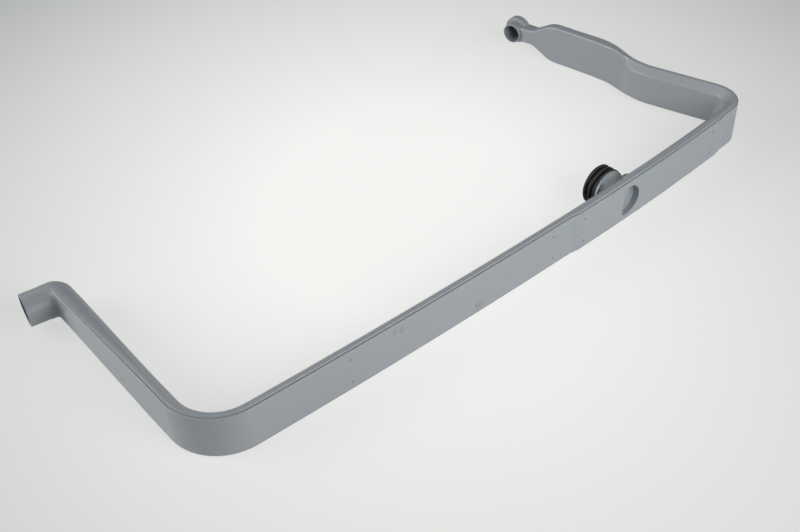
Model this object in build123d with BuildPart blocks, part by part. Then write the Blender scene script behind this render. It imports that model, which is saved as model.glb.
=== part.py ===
from build123d import *
import os
from math import cos, hypot, radians, sin, tan

os.makedirs("parts", exist_ok=True)

# Dishwasher water manifold: a flat duct bent into a U, moulded as a trough and closed by a welded strip.
# Origin at the centre of the inlet mouth. X runs along the riser, Y from the riser towards the inlet,
# and Z across the duct, which lies on its edge. Depth is measured inward from the duct's outer face.

# Duct section
duct_width = 38.4
duct_depth = 11.0
flange_depth = 5.0
slope_drop = 6.0
wall = 2.0
rim_wall = 2.8
outer_edge_radius = 0.6
step_edge_radius = 0.5
shoulder_radius = 1.5
inner_edge_radius = 2.5
square_edge_radius = 2.0

# Inlet spigot and the round pan behind it
spigot_length = 20.8
spigot_lean = 8.1
spigot_radius = 13.1
spigot_wall = 1.7
root_length = 5.0
root_swell = 0.3
inlet_fillet_radius = 5.0
pan_depth = 14.2
pan_round = 12.5
pan_flat = 0.6
pan_corner_angle = 45.0
pan_step = 0.3
pan_step_radius = 0.15
pan_length = 22.0
taper_length = 110.0

# Route of the outer face, from the inlet to the upper outlet
lower_arm_length = 163.4
lower_arm_lean = 0.85
lower_corner_radius = 43.0
lower_corner_turn = 87.0
riser_lower_length = 291.0
riser_lower_bow = 2.85
riser_upper_length = 210.8
riser_upper_bow = 4.2
upper_corner_radius = 25.9
upper_corner_turn = 101.6
upper_arm_length = 60.1
jog_radius = 58.0
scoop_turn = 19.0
scoop_radius = 18.0
scoop_sweep = 45.0
jog_out_turn = 12.0
jog_run_length = 13.0
jog_back_turn = 26.0
end_run_length = 30.0

# End of the upper arm and its outlet
knee_along = 50.0
knee_radius = 24.0
neck_along = 70.5
neck_radius = 12.0
neck_height = 15.0
outlet_along = 92.0
boss_radius = 12.9
boss_back = 3.0
boss_front = 5.5
boss_bevel = 1.4
stub_radius = 9.6
stub_wall = 1.1
stub_top = 13.2
stub_bevel = 0.4

# Cover strip and its raised stretch
cover_thickness = 1.7
cover_step = 1.3
cover_start = 24.0
raised_start = 2.0
raised_end = 197.0
raised_ramp = 8.0
raised_height = 1.5
raised_edge_radius = 0.6

# Docking outlet and the pocket opposite it
dock_along = 67.0
pad_length = 32.0
pad_width = 25.0
pad_corner = 10.0
pad_shift = 5.0
pad_rise = 4.5
pad_edge_radius = 3.5
neck_root_radius = 13.0
neck_top_radius = 15.2
collar_radius = 16.3
collar_depth = 20.4
collar_thickness = 1.8
nozzle_radius = 12.6
nozzle_wall = 2.1
nozzle_lip_height = 0.9
nozzle_lip_width = 1.2
pocket_radius = 13.2
pocket_flat = 6.0
pocket_corner = 1.2
pocket_depth = 3.4
pocket_wall = 1.5
pocket_edge_radius = 0.6
pocket_edge_gap = 0.05
pocket_floor_radius = 0.8
gate_radius = 1.0
gate_height = 0.4

# Docking seal
seal_length = 12.0
seal_clearance = 0.05
seal_rib_radius = 17.0
seal_groove_radius = 14.9
seal_rib_count = 3
seal_rib_width = 2.6
seal_rib_bevel = 0.8

# Ejector marks on the cover
mark_radius = 1.1
mark_depth = 0.4
mark_reach = 10.6
lower_marks = (77.5, 271.5)
upper_marks = (14.0, 179.0)

# Derived values
half_width = duct_width / 2
half_inside = half_width - rim_wall
cover_half = half_width - cover_step
neck_half = neck_height / 2
spigot_bore = spigot_radius - spigot_wall
root_radius = spigot_radius + root_swell
stub_bore = stub_radius - stub_wall
nozzle_bore = nozzle_radius - nozzle_wall
nozzle_top = collar_depth + seal_length + nozzle_lip_width
pan_setback = pan_round * tan(radians(pan_corner_angle / 2))
pan_shoulder = pan_depth - pan_round + pan_setback
pan_drop = pan_round - pan_setback
pan_fillet = pan_round - pan_flat
riser_upper_radius = riser_upper_length / radians(riser_upper_bow)
joint_depth = cover_thickness
pocket_floor = pocket_depth - raised_height
overlap = 4.0

# Directions at the inlet: along the spigot, square to it towards the arm, and along the arm
spigot_direction = Vector(cos(radians(spigot_lean)), -sin(radians(spigot_lean)), 0)
spigot_side = spigot_direction.rotate(Axis.Z, -90)
arm_direction = Vector(sin(radians(lower_arm_lean)), -cos(radians(lower_arm_lean)), 0)
pan_point = spigot_direction * spigot_length

# Route of the outer face, seen from above, with the inside of the U on its left
with BuildLine() as route:
    pan_run = Line(pan_point, pan_point + arm_direction * pan_length)
    taper_run = Line(pan_run @ 1, pan_point + arm_direction * (pan_length + taper_length))
    flat_run = Line(taper_run @ 1, pan_point + arm_direction * lower_arm_length)
    lower_corner = JernArc(flat_run @ 1, flat_run % 1, lower_corner_radius, lower_corner_turn)
    riser_lower = JernArc(
        lower_corner @ 1, lower_corner % 1, riser_lower_length / radians(riser_lower_bow), riser_lower_bow
    )
    riser_upper = JernArc(riser_lower @ 1, riser_lower % 1, riser_upper_radius, riser_upper_bow)
    upper_corner = JernArc(riser_upper @ 1, riser_upper % 1, upper_corner_radius, upper_corner_turn)
    upper_arm = Line(upper_corner @ 1, upper_corner @ 1 + (upper_corner % 1) * upper_arm_length)
    scoop_arc = JernArc(upper_arm @ 1, upper_arm % 1, jog_radius, -scoop_turn)
    jog_out = JernArc(scoop_arc @ 1, scoop_arc % 1, jog_radius, -jog_out_turn)
    jog_run = Line(jog_out @ 1, jog_out @ 1 + (jog_out % 1) * jog_run_length)
    jog_back = JernArc(jog_run @ 1, jog_run % 1, jog_radius, jog_back_turn)
    end_run = Line(jog_back @ 1, jog_back @ 1 + (jog_back % 1) * end_run_length)

with BuildLine() as cover_route:
    cover_lower = Line(pan_point + arm_direction * cover_start, flat_run @ 1)
    cover_upper = Line(jog_back @ 1, jog_back @ 1 + (jog_back % 1) * (outlet_along + boss_radius + overlap))

sloped_edges = [flat_run, lower_corner, riser_lower, riser_upper, upper_corner, upper_arm, scoop_arc]
square_edges = [jog_out, jog_run, jog_back]
sloped_path = Wire(sloped_edges)
square_path = Wire(square_edges + [end_run])
cover_path = Wire([cover_lower] + sloped_edges[1:] + square_edges + [cover_upper])


# Section plane on the route: x is depth inward, y is Z
def section_plane(line, share):
    tangent = line % share
    return Plane(origin=line @ share, x_dir=tangent.rotate(Axis.Z, 90), z_dir=tangent)


# Face plane on the route or on its straight extension: x runs along the route, z is depth inward
def face_plane(line, along):
    share = min(along / line.length, 1)
    tangent = line % share
    origin = line @ share + tangent * (along - share * line.length)
    return Plane(origin=origin, x_dir=tangent, z_dir=tangent.rotate(Axis.Z, 90))


# Plan plane at a face plane's origin: x runs along the route, y is depth inward
def plan_plane(face):
    return Plane(origin=face.origin, x_dir=face.x_dir, z_dir=(0, 0, 1))


# Point on the bowed upper riser, by distance along it and depth
def riser_point(along, depth):
    face = face_plane(riser_upper, along)
    return face.origin + face.z_dir * depth


# Depth of a point below the bowed upper riser's outer face
def riser_depth(point):
    centre = riser_upper.arc_center
    return riser_upper_radius - hypot(point.X - centre.X, point.Y - centre.Y)


# Closed outline that is the same above and below its first axis
def mirrored_face(upper, rounds=None, mode=Mode.ADD):
    lower = [(x, -y) for x, y in reversed(upper)]
    rounds = rounds or [0] * len(upper)
    with BuildLine() as outline:
        FilletPolyline(*upper, *lower, radius=rounds + rounds[::-1], close=True)
    make_face(outline.edges(), mode=mode)


# Plain rectangle across the duct, between two depths
def band_section(first_depth, last_depth, half):
    mirrored_face([(first_depth, half), (last_depth, half)])


# Front of a duct section, from the cover's face to the trough's flange, which stands proud of the cover
def stepped_front(half, step):
    return [(0, half - step), (joint_depth, half - step), (joint_depth, half)]


# Duct section with sloped inner corners
def flat_section(mode=Mode.ADD):
    slope = [(flange_depth, half_width), (duct_depth, half_width - slope_drop)]
    rounds = [outer_edge_radius, 0, step_edge_radius, shoulder_radius, inner_edge_radius]
    mirrored_face(stepped_front(half_width, cover_step) + slope, rounds, mode)


# Duct section with square inner corners
def square_section():
    rounds = [outer_edge_radius, 0, step_edge_radius, square_edge_radius]
    mirrored_face(stepped_front(half_width, cover_step) + [(duct_depth, half_width)], rounds)


# Half-round section at the inlet
def pan_section():
    slope = [(pan_shoulder, root_radius), (pan_depth, root_radius - pan_drop)]
    rounds = [outer_edge_radius, 0, pan_step_radius, pan_fillet, pan_fillet]
    mirrored_face(stepped_front(root_radius, pan_step) + slope, rounds)


# Inside of a sloped section, a wall's thickness in from each side, up to the cover's inner face
def sloped_inside(half, depth, shoulder, drop, side_wall):
    run = depth - shoulder
    shift = wall * hypot(run, drop) / drop
    inside_half = half - side_wall
    inside_shoulder = shoulder + side_wall * run / drop - shift
    inner_half = half - (depth - wall + shift - shoulder) * drop / run
    mirrored_face(
        [(joint_depth, inside_half), (inside_shoulder, inside_half), (depth - wall, inner_half)]
    )


def flat_inside():
    sloped_inside(half_width, duct_depth, flange_depth, slope_drop, rim_wall)


def pan_inside():
    sloped_inside(root_radius, pan_depth, pan_shoulder, pan_drop, spigot_wall + root_swell)


# Raised stretch seen from above, from a line that steps outward to a plain line behind it
def raised_strip(plain_depth, raised_depth, back_depth):
    middle = (raised_start + raised_end) / 2
    first_foot = riser_point(raised_start, plain_depth)
    first_top = riser_point(raised_start + raised_ramp, raised_depth)
    last_top = riser_point(raised_end - raised_ramp, raised_depth)
    last_foot = riser_point(raised_end, plain_depth)
    first_back = riser_point(raised_start, back_depth)
    last_back = riser_point(raised_end, back_depth)
    with BuildLine() as outline:
        Polyline(first_back, first_foot, first_top)
        ThreePointArc(first_top, riser_point(middle, raised_depth), last_top)
        Polyline(last_top, last_foot, last_back)
        ThreePointArc(last_back, riser_point(middle, back_depth), first_back)
    make_face(outline.edges())


# Long upper and lower edges of a raised solid, in front of a depth
def raised_rims(solid, depth):
    rims = solid.faces().filter_by(Axis.Z).edges()
    return rims.filter_by(lambda edge: riser_depth(edge @ 0.5) < depth - raised_height / 4)


# End of the upper arm seen from inside: full width, then a taper to the neck that runs into the outlet
def end_outline(start, inset):
    upper = [
        (start, half_width - inset),
        (knee_along, half_width - inset),
        (neck_along, neck_half - inset),
        (outlet_along, neck_half - inset),
    ]
    mirrored_face(upper, [0, knee_radius, neck_radius, 0])


# Profile turned about the depth axis of a plan plane, from (radius, depth) points
def turned(plan, points):
    with BuildSketch(plan) as profile:
        with BuildLine() as outline:
            Polyline(*points, close=True)
        make_face(outline.edges())
    revolve(profile.sketch, axis=Axis(plan.origin, plan.y_dir))


# Disc or plug of one radius between two depths
def turned_plug(plan, radius, first_depth, last_depth):
    turned(plan, [(0, first_depth), (radius, first_depth), (radius, last_depth), (0, last_depth)])


# D-shaped outline of the pocket, flat on the side of the lower arm
def pocket_outline(inset):
    Circle(pocket_radius - inset)
    with Locations((inset - pocket_flat, 0)):
        Rectangle(2 * pocket_radius, 2 * pocket_radius, align=(Align.MAX, Align.CENTER), mode=Mode.SUBTRACT)


end_face = face_plane(end_run, 0)
outlet_plan = plan_plane(face_plane(end_run, outlet_along))
dock_face = face_plane(riser_upper, dock_along)
dock_plan = plan_plane(dock_face)
dock_axis = Axis(dock_face.origin, dock_face.z_dir)
end_axis = Axis(end_face.origin, end_face.z_dir)
spigot_axis = Axis((0, 0, 0), spigot_direction)
spigot_plane = Plane(origin=(0, 0, 0), x_dir=(0, 0, 1), z_dir=spigot_direction)
inlet_section = Plane(origin=pan_point, x_dir=spigot_direction, z_dir=spigot_side)

# Fillet in the inside corner between the spigot and the lower arm
with BuildPart() as inlet_fillet:
    corner_along = root_radius / arm_direction.dot(spigot_side)
    inside_corner = pan_point + arm_direction * corner_along
    tube_foot = inside_corner - spigot_direction * inlet_fillet_radius
    arm_foot = inside_corner + arm_direction * inlet_fillet_radius
    with BuildSketch():
        with BuildLine():
            FilletPolyline(
                tube_foot,
                inside_corner,
                arm_foot,
                arm_foot + spigot_direction * spigot_wall,
                inside_corner + (spigot_direction - spigot_side) * spigot_wall,
                tube_foot - spigot_side * spigot_wall,
                radius=[0, inlet_fillet_radius, 0, 0, 0, 0],
                close=True,
            )
        make_face()
    revolve(axis=spigot_axis, revolution_arc=90)
    mirror(about=Plane.XY)
    with BuildSketch():
        Rectangle(4 * lower_arm_length, 4 * lower_arm_length)
    extrude(amount=root_radius - pan_step - outer_edge_radius, both=True, mode=Mode.INTERSECT)

# Raised stretch of the riser's outer face, on the cover and on the trough's flange behind it
with BuildPart() as raised_cover:
    with BuildSketch():
        raised_strip(0, -raised_height, joint_depth)
    extrude(amount=cover_half, both=True)
    fillet(raised_rims(raised_cover, 0), raised_edge_radius)

with BuildPart() as raised_flange:
    with BuildSketch():
        raised_strip(joint_depth, joint_depth - raised_height, flange_depth - shoulder_radius)
    extrude(amount=half_width, both=True)
    fillet(raised_rims(raised_flange, joint_depth), step_edge_radius)

# End of the upper arm, and the cover on it
with BuildPart() as upper_end:
    with BuildSketch(end_face.offset(joint_depth)):
        end_outline(end_run_length, 0)
    extrude(amount=duct_depth - joint_depth)
    inner_rim = upper_end.faces().sort_by(end_axis)[-1].edges().filter_by(Axis.Z, reverse=True)
    fillet(inner_rim, square_edge_radius)

with BuildPart() as end_cover:
    with BuildSketch(end_face):
        end_outline(end_run_length, cover_step)
    extrude(amount=joint_depth)
    outer_rim = end_cover.faces().sort_by(end_axis)[0].edges().filter_by(Axis.Z, reverse=True)
    fillet(outer_rim, outer_edge_radius)

# Rounded pad on the inner face, round the docking nozzle
with BuildPart() as dock_pad:
    with BuildSketch(dock_face.offset(flange_depth)):
        with Locations((pad_shift, 0)):
            RectangleRounded(pad_length, pad_width, pad_corner)
    extrude(amount=duct_depth + pad_rise - flange_depth)
    fillet(dock_pad.faces().sort_by(dock_axis)[-1].edges(), pad_edge_radius)

# Rounded run-out of the sloped corners into the square end of the upper arm
with BuildPart() as scoop_end:
    scoop_plane = section_plane(jog_out, 0)
    with BuildSketch(scoop_plane):
        with Locations((flange_depth - shoulder_radius, half_width)):
            Rectangle(duct_depth, slope_drop + inner_edge_radius, align=(Align.MIN, Align.MAX))
        flat_section(mode=Mode.SUBTRACT)
    scoop_centre = scoop_plane.from_local_coords((0, half_width + scoop_radius, 0))
    revolve(axis=Axis(scoop_centre, -scoop_plane.x_dir), revolution_arc=scoop_sweep)
    mirror(about=Plane.XY)

# Outside of the whole duct
with BuildPart() as envelope:
    with BuildSketch(section_plane(flat_run, 0)):
        flat_section()
    sweep(path=sloped_path)
    with BuildSketch(section_plane(jog_out, 0)):
        square_section()
    sweep(path=square_path)
    add(scoop_end.part, mode=Mode.SUBTRACT)
    with BuildSketch(section_plane(flat_run, 0)):
        flat_section()
    with BuildSketch(section_plane(taper_run, 0)):
        pan_section()
    loft(ruled=True)
    with BuildSketch(section_plane(taper_run, 0)):
        pan_section()
    with BuildSketch(inlet_section):
        pan_section()
    loft(ruled=True)
    with BuildSketch(inlet_section):
        pan_section()
        Rectangle(4 * pan_depth, 2 * root_radius, align=(Align.CENTER, Align.MAX), mode=Mode.SUBTRACT)
    revolve(axis=Axis(pan_point, -spigot_direction), revolution_arc=180)
    with BuildSketch(spigot_plane):
        Circle(spigot_radius)
    extrude(amount=spigot_length)
    with BuildSketch(spigot_plane.offset(spigot_length - root_length)):
        Circle(root_radius)
    extrude(amount=root_length + joint_depth)
    add(inlet_fillet.part)
    add(upper_end.part)
    add(end_cover.part)
    turned(
        outlet_plan,
        [
            (0, -boss_back),
            (boss_radius - boss_bevel, -boss_back),
            (boss_radius, boss_bevel - boss_back),
            (boss_radius, boss_front - boss_bevel),
            (boss_radius - boss_bevel, boss_front),
            (stub_radius, boss_front),
            (stub_radius, stub_top - stub_bevel),
            (stub_radius - stub_bevel, stub_top),
            (0, stub_top),
        ],
    )
    with BuildSketch(plan_plane(end_face)):
        with BuildLine():
            Polyline(
                (neck_along - boss_radius, 0),
                (neck_along, -boss_back),
                (outlet_along, -boss_back),
                (outlet_along, joint_depth),
                (neck_along - boss_radius, joint_depth),
                close=True,
            )
        make_face()
    extrude(amount=neck_half - cover_step, both=True)
    add(raised_cover.part)
    add(raised_flange.part)
    add(dock_pad.part)
    turned(
        dock_plan,
        [
            (0, flange_depth),
            (neck_root_radius, flange_depth),
            (neck_root_radius, duct_depth + pad_rise),
            (neck_top_radius, collar_depth - collar_thickness),
            (collar_radius, collar_depth - collar_thickness),
            (collar_radius, collar_depth),
            (nozzle_radius, collar_depth),
            (nozzle_radius, collar_depth + seal_length),
            (nozzle_radius + nozzle_lip_height, collar_depth + seal_length),
            (nozzle_radius, nozzle_top),
            (0, nozzle_top),
        ],
    )

# Bore of the upper outlet
with BuildPart() as outlet_bore:
    turned_plug(outlet_plan, stub_bore, wall - boss_back, stub_top + overlap)

# Water space inside the duct
with BuildPart() as cavity:
    with BuildSketch(section_plane(flat_run, 0)):
        flat_inside()
    sweep(path=Wire(sloped_edges + [jog_out]))
    with BuildSketch(section_plane(jog_run, 0)):
        band_section(joint_depth, duct_depth - wall, half_inside)
    sweep(path=Wire([jog_run, jog_back, end_run]))
    with BuildSketch(end_face.offset(joint_depth)):
        end_outline(end_run_length - overlap, rim_wall)
    extrude(amount=duct_depth - wall - joint_depth)
    with BuildSketch(section_plane(flat_run, 0)):
        flat_inside()
    with BuildSketch(section_plane(taper_run, 0)):
        pan_inside()
    loft(ruled=True)
    with BuildSketch(section_plane(taper_run, 0)):
        pan_inside()
    with BuildSketch(inlet_section):
        pan_inside()
    loft(ruled=True)
    with BuildSketch(inlet_section):
        pan_inside()
        Rectangle(4 * pan_depth, 2 * root_radius, align=(Align.CENTER, Align.MAX), mode=Mode.SUBTRACT)
    revolve(axis=Axis(pan_point, -spigot_direction), revolution_arc=180)
    with BuildSketch(spigot_plane):
        Circle(spigot_bore)
    extrude(amount=spigot_length + pan_depth / 2)
    with BuildSketch():
        raised_strip(joint_depth, joint_depth - raised_height, joint_depth + wall)
    extrude(amount=half_inside, both=True)
    with BuildSketch(dock_face.offset(flange_depth)):
        with Locations((pad_shift, 0)):
            RectangleRounded(pad_length - 2 * wall, pad_width - 2 * wall, pad_corner - wall)
    extrude(amount=duct_depth + pad_rise - wall - flange_depth)
    turned_plug(dock_plan, nozzle_bore, flange_depth, nozzle_top + overlap)
    add(outlet_bore.part)

# Space that the cover takes, outside the joint between the two mouldings
with BuildPart() as cover_zone:
    with BuildSketch(section_plane(cover_lower, 0)):
        band_section(-boss_back - overlap, joint_depth, half_width + overlap)
    sweep(path=cover_path)
    with BuildSketch():
        raised_strip(joint_depth, joint_depth - raised_height, joint_depth + wall)
    extrude(amount=half_width + overlap, both=True, mode=Mode.SUBTRACT)

# Trough with the inlet spigot, the docking nozzle and the upper outlet
with BuildPart() as channel:
    add(envelope.part)
    add(cover_zone.part, mode=Mode.SUBTRACT)
    add(cavity.part, mode=Mode.SUBTRACT)

# Pocket cup that hangs into the duct behind the docking nozzle
with BuildPart() as pocket_cup:
    with BuildSketch(dock_face.offset(-raised_height / 2)) as cup_outline:
        pocket_outline(-pocket_wall)
        fillet(cup_outline.vertices(), pocket_corner + pocket_wall)
    extrude(amount=pocket_floor + pocket_wall + raised_height / 2)

# Space of the pocket, with a rounded floor and a plate outside the cover that rounds the pocket's rim
with BuildPart() as pocket_space:
    rim_face = dock_face.offset(-raised_height - pocket_edge_gap)
    with BuildSketch(dock_face.offset(pocket_floor)) as space_outline:
        pocket_outline(0)
        fillet(space_outline.vertices(), pocket_corner)
    extrude(amount=-pocket_depth - pocket_edge_gap)
    fillet(pocket_space.faces().sort_by(dock_axis)[-1].edges(), pocket_floor_radius)
    pocket_rim = pocket_space.faces().sort_by(dock_axis)[0].edges()
    with BuildSketch(rim_face):
        Circle(pocket_radius + overlap)
    extrude(amount=-overlap)
    rim_middles = [edge @ 0.5 for edge in pocket_rim]
    rim_edges = pocket_space.edges().filter_by(
        lambda edge: min((edge @ 0.5 - middle).length for middle in rim_middles) < pocket_edge_gap
    )
    fillet(rim_edges, pocket_edge_radius)

# Cover strip with its raised stretch, pocket and ejector marks
with BuildPart() as cover:
    add(envelope.part)
    add(cover_zone.part, mode=Mode.INTERSECT)
    add(outlet_bore.part, mode=Mode.SUBTRACT)
    add(pocket_cup.part)
    add(pocket_space.part, mode=Mode.SUBTRACT)
    with BuildSketch(dock_face.offset(pocket_floor)):
        Circle(gate_radius)
    extrude(amount=-gate_height)
    for line, marks, depth in ((riser_lower, lower_marks, 0), (riser_upper, upper_marks, -raised_height)):
        for along in marks:
            with BuildSketch(face_plane(line, along).offset(depth)):
                with Locations((0, mark_reach), (0, -mark_reach)):
                    Circle(mark_radius)
            extrude(amount=mark_depth, mode=Mode.SUBTRACT)

# Ribbed rubber ring on the docking nozzle
with BuildPart() as docking_seal:
    seal_bore = nozzle_radius + seal_clearance
    rib_pitch = (seal_length - seal_rib_width) / (seal_rib_count - 1)
    seal_points = [(seal_bore, collar_depth)]
    for rib in range(seal_rib_count):
        rib_start = collar_depth + rib * rib_pitch
        rib_end = rib_start + seal_rib_width
        if rib > 0:
            seal_points.append((seal_groove_radius, rib_start))
        seal_points.append((seal_rib_radius - seal_rib_bevel, rib_start))
        seal_points.append((seal_rib_radius, rib_start + seal_rib_bevel))
        seal_points.append((seal_rib_radius, rib_end - seal_rib_bevel))
        seal_points.append((seal_rib_radius - seal_rib_bevel, rib_end))
        if rib < seal_rib_count - 1:
            seal_points.append((seal_groove_radius, rib_end))
    seal_points.append((seal_bore, collar_depth + seal_length))
    turned(dock_plan, seal_points)

channel.part.label = "channel"
cover.part.label = "cover"
docking_seal.part.label = "docking_seal"

export_step(channel.part, "parts/channel.step")
export_step(cover.part, "parts/cover.step")
export_step(docking_seal.part, "parts/docking_seal.step")
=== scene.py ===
import bmesh
import bpy
from math import cos, pi, radians, sin
from mathutils import Matrix, Vector


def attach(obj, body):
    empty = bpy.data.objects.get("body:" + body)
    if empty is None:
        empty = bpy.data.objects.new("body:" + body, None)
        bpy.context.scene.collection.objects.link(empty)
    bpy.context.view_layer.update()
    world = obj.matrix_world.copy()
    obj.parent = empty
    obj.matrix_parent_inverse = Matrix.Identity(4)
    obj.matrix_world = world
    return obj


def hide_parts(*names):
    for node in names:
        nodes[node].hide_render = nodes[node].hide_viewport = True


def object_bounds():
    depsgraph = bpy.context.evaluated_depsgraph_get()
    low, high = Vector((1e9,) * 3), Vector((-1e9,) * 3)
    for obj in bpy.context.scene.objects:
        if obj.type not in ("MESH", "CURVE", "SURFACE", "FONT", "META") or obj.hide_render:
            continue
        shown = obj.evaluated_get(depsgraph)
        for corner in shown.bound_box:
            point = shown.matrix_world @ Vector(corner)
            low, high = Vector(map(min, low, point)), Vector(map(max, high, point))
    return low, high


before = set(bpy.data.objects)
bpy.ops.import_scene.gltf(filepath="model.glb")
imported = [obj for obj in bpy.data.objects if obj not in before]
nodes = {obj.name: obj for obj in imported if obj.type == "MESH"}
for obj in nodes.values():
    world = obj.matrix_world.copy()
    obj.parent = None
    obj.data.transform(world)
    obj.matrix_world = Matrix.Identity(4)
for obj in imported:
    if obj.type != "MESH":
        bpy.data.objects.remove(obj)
cadLow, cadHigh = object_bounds()
scene = bpy.context.scene
nodeSpacing = 220  # between shader nodes in the editor


# A shader node of a material or of the world, placed by column and row
def addNode(owner, kind, column, row=0, **settings):
    node = owner.node_tree.nodes.new(kind)
    node.location = (column * nodeSpacing, -row * nodeSpacing)
    for name, value in settings.items():
        setattr(node, name, value)
    return node


def link(owner, output, target):
    owner.node_tree.links.new(output, target)


def newMaterial(name):
    material = bpy.data.materials.new(name)
    material.use_nodes = True
    material.node_tree.nodes.clear()
    return material


def addNoise(owner, row, scale, detail):
    noise = addNode(owner, "ShaderNodeTexNoise", 1, row)
    noise.inputs["Scale"].default_value = scale
    noise.inputs["Detail"].default_value = detail
    return noise


def addBump(owner, strength, depth):
    bump = addNode(owner, "ShaderNodeBump", 2, 2)
    bump.inputs["Strength"].default_value = strength
    bump.inputs["Distance"].default_value = depth
    return bump


# Two colours and the sockets for their share and their mix
def addColorMix(owner, column, first, second):
    mix = addNode(owner, "ShaderNodeMix", column, data_type="RGBA")
    share, firstColor, secondColor = (mix.inputs[index] for index in (0, 6, 7))
    firstColor.default_value = (*first, 1)
    secondColor.default_value = (*second, 1)
    return share, mix.outputs[2]


# One for rays that show a surface, to the eye or in gloss and glass
def seenRays(owner):
    path = addNode(owner, "ShaderNodeLightPath", 0, 4)
    seen = addNode(owner, "ShaderNodeMath", 1, 4, operation="MAXIMUM")
    seenThrough = addNode(owner, "ShaderNodeMath", 2, 4, operation="MAXIMUM")
    link(owner, path.outputs["Is Camera Ray"], seen.inputs[0])
    link(owner, path.outputs["Is Glossy Ray"], seen.inputs[1])
    link(owner, seen.outputs[0], seenThrough.inputs[0])
    link(owner, path.outputs["Is Transmission Ray"], seenThrough.inputs[1])
    return seenThrough.outputs[0]


# Moulded plastic of the duct, with faint flow clouds and a fine grain
plastic = {
    "baseColor": (0.182, 0.202, 0.222),
    "flowColor": (0.195, 0.215, 0.234),
    "flowScale": 14.0,
    "flowDetail": 4.0,
    "roughness": 0.42,
    "roughnessSpread": 0.06,
    "grainScale": 2600.0,
    "grainDetail": 2.0,
    "grainStrength": 0.035,
    "grainDepth": 0.0001,
    "specular": 0.45,
}


def makePlastic(values):
    material = newMaterial("ductPlastic")
    coords = addNode(material, "ShaderNodeTexCoord", 0)
    flow = addNoise(material, 0, values["flowScale"], values["flowDetail"])
    grain = addNoise(material, 1, values["grainScale"], values["grainDetail"])
    flowShare, color = addColorMix(material, 2, values["baseColor"], values["flowColor"])
    rough = addNode(material, "ShaderNodeMapRange", 2, 1)
    rough.inputs["To Min"].default_value = values["roughness"] - values["roughnessSpread"]
    rough.inputs["To Max"].default_value = values["roughness"] + values["roughnessSpread"]
    bump = addBump(material, values["grainStrength"], values["grainDepth"])
    shader = addNode(material, "ShaderNodeBsdfPrincipled", 3)
    shader.inputs["Specular IOR Level"].default_value = values["specular"]
    output = addNode(material, "ShaderNodeOutputMaterial", 4)
    link(material, coords.outputs["Object"], flow.inputs["Vector"])
    link(material, coords.outputs["Object"], grain.inputs["Vector"])
    link(material, flow.outputs["Fac"], flowShare)
    link(material, flow.outputs["Fac"], rough.inputs["Value"])
    link(material, grain.outputs["Fac"], bump.inputs["Height"])
    link(material, color, shader.inputs["Base Color"])
    link(material, rough.outputs["Result"], shader.inputs["Roughness"])
    link(material, bump.outputs["Normal"], shader.inputs["Normal"])
    link(material, shader.outputs["BSDF"], output.inputs["Surface"])
    return material


# Rubber of the docking seal, with a little dust
rubber = {
    "baseColor": (0.008, 0.008, 0.009),
    "dustColor": (0.016, 0.016, 0.017),
    "dustScale": 90.0,
    "dustDetail": 5.0,
    "roughness": 0.5,
    "specular": 0.16,
}


def makeRubber(values):
    material = newMaterial("sealRubber")
    coords = addNode(material, "ShaderNodeTexCoord", 0)
    dust = addNoise(material, 0, values["dustScale"], values["dustDetail"])
    dustShare, color = addColorMix(material, 2, values["baseColor"], values["dustColor"])
    shader = addNode(material, "ShaderNodeBsdfPrincipled", 3)
    shader.inputs["Roughness"].default_value = values["roughness"]
    shader.inputs["Specular IOR Level"].default_value = values["specular"]
    output = addNode(material, "ShaderNodeOutputMaterial", 4)
    link(material, coords.outputs["Object"], dust.inputs["Vector"])
    link(material, dust.outputs["Fac"], dustShare)
    link(material, color, shader.inputs["Base Color"])
    link(material, shader.outputs["BSDF"], output.inputs["Surface"])
    return material


def smoothFaces(mesh):
    mesh.polygons.foreach_set("use_smooth", [True] * len(mesh.polygons))


def dress(node, material):
    node.data.materials.clear()
    node.data.materials.append(material)
    smoothFaces(node.data)


plasticMaterial = makePlastic(plastic)
rubberMaterial = makeRubber(rubber)
print("stage: materials")


def smoothStep(value, low, high):
    share = min(max((value - low) / (high - low), 0.0), 1.0)
    return share * share * (3 - 2 * share)


# Trough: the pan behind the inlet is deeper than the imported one, and rounder at its end
panShape = {
    "flangeX": 0.0245,
    "panX": 0.0351,
    "armX": 0.06,
    "taperY": -0.1349,
    "panY": -0.006,
    "endY": 0.0129,
    "deeper": 0.0028,
    "endPull": -0.0014,
}


def panShift(point, values):
    if point.x < values["flangeX"] or point.x > values["armX"] or point.y < values["taperY"]:
        return Vector()
    inward = min((point.x - values["flangeX"]) / (values["panX"] - values["flangeX"]), 1.0)
    if point.y < values["panY"]:
        shift = values["deeper"] * (point.y - values["taperY"]) / (values["panY"] - values["taperY"])
    else:
        bend = smoothStep(point.y, values["panY"], values["endY"])
        shift = values["deeper"] + (values["endPull"] - values["deeper"]) * bend
    return Vector((shift * inward, 0, 0))


# Trough: the plate at the end of the upper arm is thinner, measured along its outward normal
plateShape = {
    "outward": (0.98, 0.199, 0.0),
    "sideX": 0.5,
    "innerReach": 0.5475,
    "rimReach": 0.5525,
    "thinner": 0.0016,
    "startY": (-0.052, -0.03),
    "stopY": (0.015, 0.045),
}


def plateShift(point, values):
    outward = Vector(values["outward"])
    reach = outward.dot(point)
    if point.x < values["sideX"] or reach > values["rimReach"]:
        return Vector()
    inward = min((values["rimReach"] - reach) / (values["rimReach"] - values["innerReach"]), 1.0)
    along = smoothStep(point.y, *values["startY"]) * (1 - smoothStep(point.y, *values["stopY"]))
    return outward * values["thinner"] * inward * along


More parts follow.
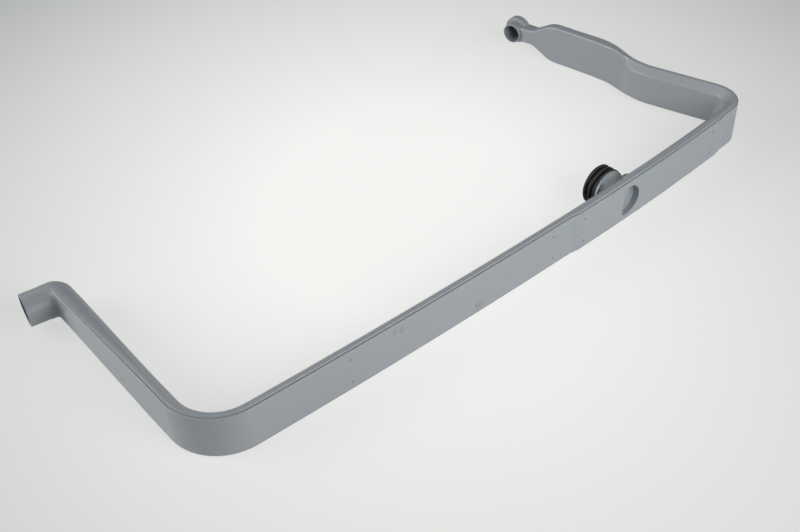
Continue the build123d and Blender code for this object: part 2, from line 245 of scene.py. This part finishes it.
# Trough: the inner face of the upper arm runs smoothly through the jog
jogShape = {
    "sideX": 0.5,
    "peakY": -0.079,
    "cornerSide": 0.016,
    "endSide": 0.034,
    "lift": 0.004,
    "outerX": 0.5725,
    "outerY": -0.057,
    "outerSlope": 0.217,
    "depth": 0.007,
}


def jogShift(point, values):
    outer = values["outerX"] + (point.y - values["outerY"]) * values["outerSlope"]
    if point.x < values["sideX"] or point.x > outer:
        return Vector()
    away = point.y - values["peakY"]
    along = 1 - smoothStep(abs(away), 0, values["endSide"] if away > 0 else values["cornerSide"])
    inward = min((outer - point.x) / values["depth"], 1.0)
    return Vector((values["lift"] * along * inward, 0, 0))


def troughShift(point):
    return panShift(point, panShape) + plateShift(point, plateShape) + jogShift(point, jogShape)


# Cover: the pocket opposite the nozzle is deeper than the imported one
pocketShape = {
    "centre": (0.42139, -0.18434, 0.0),
    "outward": (0.0355, -0.9994, 0.0),
    "faceReach": 0.02791,
    "floorDepth": (0.0022, 0.006),
    "radius": 0.0155,
    "deeper": 0.0026,
}


def pocketShift(point, values):
    outward = Vector(values["outward"])
    arm = point - Vector(values["centre"])
    reach = outward.dot(arm)
    least, most = values["floorDepth"]
    if not least < values["faceReach"] - reach < most:
        return Vector()
    if (arm - outward * reach).length > values["radius"]:
        return Vector()
    return outward * -values["deeper"]


def coverShift(point):
    return pocketShift(point, pocketShape)


# Shading of both mouldings: degrees between faces that stay crisp, and how much large faces count
shellFinish = {"sharpAngle": 38.0, "mergeDistance": 1e-6, "normalWeight": 100}


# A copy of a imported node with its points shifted, shown in its place
def reshapeNode(nodeName, pieceName, shiftAt, finish):
    source = nodes[nodeName]
    mesh = source.data.copy()
    mesh.name = pieceName
    toFrame = source.matrix_world.copy()
    fromFrame = toFrame.inverted()
    for vertex in mesh.vertices:
        point = toFrame @ vertex.co
        vertex.co = fromFrame @ (point + shiftAt(point))
    shell = bmesh.new()
    shell.from_mesh(mesh)
    bmesh.ops.remove_doubles(shell, verts=shell.verts, dist=finish["mergeDistance"])
    shell.to_mesh(mesh)
    shell.free()
    if "custom_normal" in mesh.attributes:
        mesh.attributes.remove(mesh.attributes["custom_normal"])
    smoothFaces(mesh)
    mesh.set_sharp_from_angle(angle=radians(finish["sharpAngle"]))
    piece = bpy.data.objects.new(pieceName, mesh)
    piece.matrix_world = toFrame
    scene.collection.objects.link(piece)
    even = piece.modifiers.new("evenNormals", "WEIGHTED_NORMAL")
    even.keep_sharp = True
    even.weight = finish["normalWeight"]
    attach(piece, "root")
    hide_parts(nodeName)
    return piece


trough = reshapeNode("channel", "ductTrough", troughShift, shellFinish)
cover = reshapeNode("cover", "ductCover", coverShift, shellFinish)
dress(trough, plasticMaterial)
dress(cover, plasticMaterial)
print("stage: trough and cover")
dress(nodes["docking_seal"], rubberMaterial)
print("stage: seal")

# Round mould marks on the riser: rings, ticks and one pointer, in metres from the mark's centre
mouldMarks = {
    "mouldRing": {
        "place": (0.18373, -0.21186, 0.01105), "outward": (-0.0168, -0.9999, 0.0),
        "rings": (0.0046, 0.0029), "ticks": 0, "tickReach": (0.0, 0.0),
        "pointer": 0.0, "pointerAngle": 0.0,
    },
    "mouldDial": {
        "place": (0.26017, -0.21271, -0.0108), "outward": (-0.0002, -1.0, 0.0),
        "rings": (0.0041, 0.0017), "ticks": 12, "tickReach": (0.0024, 0.0034),
        "pointer": 0.0012, "pointerAngle": 70.0,
    },
}
markRib = {
    "width": 0.0005,
    "height": 0.00022,
    "sunk": 0.00025,
    "segments": 72,
    "crownSteps": 4,
    "tickShoulder": 0.6,  # of the height
    "tickInset": 0.25,  # of the width
}


# A ring with a round crown, its foot sunk in the wall
def ringSolid(radius, rib, vertices, faces):
    half = rib["width"] / 2
    section = [(-half, -rib["sunk"])]
    for step in range(rib["crownSteps"] + 1):
        turn = pi - pi * step / rib["crownSteps"]
        section.append((half * cos(turn), rib["height"] * sin(turn)))
    section.append((half, -rib["sunk"]))
    base = len(vertices)
    count = len(section)
    for index in range(rib["segments"]):
        angle = 2 * pi * index / rib["segments"]
        for across, up in section:
            reach = radius + across
            vertices.append((reach * cos(angle), reach * sin(angle), up))
    for index in range(rib["segments"]):
        following = (index + 1) % rib["segments"]
        for step in range(count):
            after = (step + 1) % count
            faces.append((
                base + index * count + step, base + following * count + step,
                base + following * count + after, base + index * count + after,
            ))


# A straight rib in three levels of four corners: foot, shoulder and top
def tickSolid(angle, inner, outer, rib, vertices, faces):
    half = rib["width"] / 2
    base = len(vertices)
    levels = (
        (-rib["sunk"], 0.0),
        (rib["height"] * rib["tickShoulder"], 0.0),
        (rib["height"], rib["width"] * rib["tickInset"]),
    )
    for up, inset in levels:
        for along, across in ((inner + inset, -half + inset), (outer - inset, -half + inset),
                              (outer - inset, half - inset), (inner + inset, half - inset)):
            vertices.append((
                along * cos(angle) - across * sin(angle), along * sin(angle) + across * cos(angle), up,
            ))
    foot, shoulder, top = base, base + 4, base + 8
    faces.append((foot + 3, foot + 2, foot + 1, foot))
    for lower, upper in ((foot, shoulder), (shoulder, top)):
        for side in range(4):
            after = (side + 1) % 4
            faces.append((lower + side, lower + after, upper + after, upper + side))
    faces.append((top, top + 1, top + 2, top + 3))


def makeMark(name, values, rib, material):
    vertices, faces = [], []
    for radius in values["rings"]:
        ringSolid(radius, rib, vertices, faces)
    for index in range(values["ticks"]):
        tickSolid(2 * pi * index / values["ticks"], *values["tickReach"], rib, vertices, faces)
    if values["pointer"]:
        angle = radians(values["pointerAngle"])
        tickSolid(angle, -values["pointer"], values["pointer"], rib, vertices, faces)
    mesh = bpy.data.meshes.new(name)
    mesh.from_pydata(vertices, [], faces)
    smoothFaces(mesh)
    mesh.materials.append(material)
    piece = bpy.data.objects.new(name, mesh)
    turn = Vector(values["outward"]).to_track_quat("Z", "Y").to_matrix().to_4x4()
    piece.matrix_world = Matrix.Translation(Vector(values["place"])) @ turn
    scene.collection.objects.link(piece)
    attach(piece, "root")


for markName, markValues in mouldMarks.items():
    makeMark(markName, markValues, markRib, plasticMaterial)
print("stage: mould marks")

# Floor: pale paper with a painted pool of light, brightest under the part and painted darker towards
# the edges
floorValues = {
    "size": 8.0,
    "centre": (0.3, -0.07),
    "drop": 0.0001,
    "turn": -37.7,
    "stretch": 1.25,
    # Painted pool of light: the bright colour fills the first radius and fades to the dark colour at
    # the second
    "paintedPoolColor": (0.915, 0.918, 0.9),
    "paintedFalloffColor": (0.46, 0.475, 0.475),
    "paintedPoolRadius": 0.11,
    "paintedFalloffRadius": 0.54,
    "glow": 0.8,
    "roughness": 0.8,
    "specular": 0.2,
    "fibreScale": 400.0,
    "fibreDetail": 2.0,
    "fibreStrength": 0.02,
    "fibreDepth": 0.0002,
}


def makePaper(values):
    material = newMaterial("floorPaper")
    coords = addNode(material, "ShaderNodeTexCoord", 0)
    reach = addNode(material, "ShaderNodeVectorMath", 1, operation="LENGTH")
    # Painted pool of light: the paper's colour fades from bright under the part to dark at the edges
    paintedFalloff = addNode(material, "ShaderNodeMapRange", 2)
    paintedFalloff.inputs["From Min"].default_value = values["paintedPoolRadius"]
    paintedFalloff.inputs["From Max"].default_value = values["paintedFalloffRadius"]
    paintedFalloffShare, color = addColorMix(material, 3, values["paintedPoolColor"], values["paintedFalloffColor"])
    fibre = addNoise(material, 2, values["fibreScale"], values["fibreDetail"])
    bump = addBump(material, values["fibreStrength"], values["fibreDepth"])
    shader = addNode(material, "ShaderNodeBsdfPrincipled", 4)
    shader.inputs["Roughness"].default_value = values["roughness"]
    shader.inputs["Specular IOR Level"].default_value = values["specular"]
    # The paper also glows, as on a light table, but only as it is seen
    glow = addNode(material, "ShaderNodeEmission", 4, 2)
    glowShare = addNode(material, "ShaderNodeMath", 4, 3, operation="MULTIPLY")
    glowShare.inputs[1].default_value = values["glow"]
    both = addNode(material, "ShaderNodeMixShader", 5)
    output = addNode(material, "ShaderNodeOutputMaterial", 6)
    link(material, coords.outputs["Object"], reach.inputs[0])
    link(material, reach.outputs["Value"], paintedFalloff.inputs["Value"])
    link(material, paintedFalloff.outputs["Result"], paintedFalloffShare)
    link(material, coords.outputs["Object"], fibre.inputs["Vector"])
    link(material, fibre.outputs["Fac"], bump.inputs["Height"])
    link(material, bump.outputs["Normal"], shader.inputs["Normal"])
    link(material, color, shader.inputs["Base Color"])
    link(material, color, glow.inputs["Color"])
    link(material, seenRays(material), glowShare.inputs[0])
    link(material, glowShare.outputs[0], both.inputs[0])
    link(material, shader.outputs["BSDF"], both.inputs[1])
    link(material, glow.outputs["Emission"], both.inputs[2])
    link(material, both.outputs["Shader"], output.inputs["Surface"])
    return material


def makeFloor(values):
    half = values["size"] / 2
    corners = [(-half, -half, 0), (half, -half, 0), (half, half, 0), (-half, half, 0)]
    mesh = bpy.data.meshes.new("floor")
    mesh.from_pydata(corners, [], [(0, 1, 2, 3)])
    mesh.materials.append(makePaper(values))
    floor = bpy.data.objects.new("floor", mesh)
    floor.location = (*values["centre"], cadLow.z - values["drop"])
    # The turn and stretch also shape the painted pool of light into a tilted oval
    floor.rotation_euler.z = radians(values["turn"])
    floor.scale.y = values["stretch"]
    scene.collection.objects.link(floor)


makeFloor(floorValues)
print("stage: floor")

# Lights: place, aim and size in metres, power in watts
lightValues = {
    "rightBox": {
        "place": (2.541, -3.686, 1.539), "aim": (0.3, -0.1, 0.0), "size": 2.5, "power": 82.0,
        "color": (1.0, 0.985, 0.955),
    },
    "leftBox": {
        "place": (-1.134, 0.796, 0.616), "aim": (0.3, -0.1, 0.0), "size": 1.2, "power": 36.0,
        "color": (1.0, 0.985, 0.945),
    },
    "midBox": {
        "place": (0.34, -0.95, 0.45), "aim": (0.34, -0.15, 0.0), "size": 0.5, "power": 8.3,
        "color": (1.0, 0.99, 0.97),
    },
    "nozzleBox": {
        "place": (0.1, 0.75, 0.7), "aim": (0.42, -0.05, 0.0), "size": 0.5, "power": 1.4,
        "color": (0.9, 0.96, 1.0),
    },
}


def makeLight(name, values):
    data = bpy.data.lights.new(name, "AREA")
    data.shape = "SQUARE"
    data.size = values["size"]
    data.energy = values["power"]
    data.color = values["color"]
    light = bpy.data.objects.new(name, data)
    place = Vector(values["place"])
    toAim = Vector(values["aim"]) - place
    turn = toAim.to_track_quat("-Z", "Y").to_matrix().to_4x4()
    light.matrix_world = Matrix.Translation(place) @ turn
    scene.collection.objects.link(light)


for lightName, lightSettings in lightValues.items():
    makeLight(lightName, lightSettings)

# World: weak light for the part, a pale backdrop where it is seen
worldValues = {
    "lightColor": (0.86, 0.94, 1.0),
    "lightStrength": 0.08,
    "seenColor": (0.9, 0.92, 0.92),
    "seenStrength": 0.6,
}


def addBackground(owner, row, color, strength):
    background = addNode(owner, "ShaderNodeBackground", 3, row)
    background.inputs["Color"].default_value = (*color, 1)
    background.inputs["Strength"].default_value = strength
    return background


def makeWorld(values):
    world = bpy.data.worlds.new("studio")
    world.use_nodes = True
    world.node_tree.nodes.clear()
    lit = addBackground(world, 0, values["lightColor"], values["lightStrength"])
    backdrop = addBackground(world, 1, values["seenColor"], values["seenStrength"])
    both = addNode(world, "ShaderNodeMixShader", 4)
    output = addNode(world, "ShaderNodeOutputWorld", 5)
    link(world, seenRays(world), both.inputs[0])
    link(world, lit.outputs["Background"], both.inputs[1])
    link(world, backdrop.outputs["Background"], both.inputs[2])
    link(world, both.outputs["Shader"], output.inputs["Surface"])
    scene.world = world


makeWorld(worldValues)
scene.view_settings.view_transform = "Standard"
print("stage: lights and world")

# Camera, solved from the photo; lens and sensor in millimetres
cameraValues = {
    "place": (-0.14771, -0.64758, 0.54308),
    "right": (0.7675, -0.6396, -0.0436),
    "up": (0.4441, 0.4813, 0.7556),
    "back": (-0.4623, -0.5993, 0.6535),
    "lens": 49.45,
    "sensorWidth": 36.0,
    "clip": (0.01, 50.0),
}


def makeCamera(values):
    data = bpy.data.cameras.new("camera")
    data.sensor_fit = "HORIZONTAL"
    data.sensor_width = values["sensorWidth"]
    data.lens = values["lens"]
    data.clip_start, data.clip_end = values["clip"]
    data.dof.use_dof = False
    camera = bpy.data.objects.new("camera", data)
    turn = Matrix((values["right"], values["up"], values["back"])).transposed()
    camera.matrix_world = Matrix.Translation(Vector(values["place"])) @ turn.to_4x4()
    scene.collection.objects.link(camera)
    scene.camera = camera


makeCamera(cameraValues)
print("stage: camera")
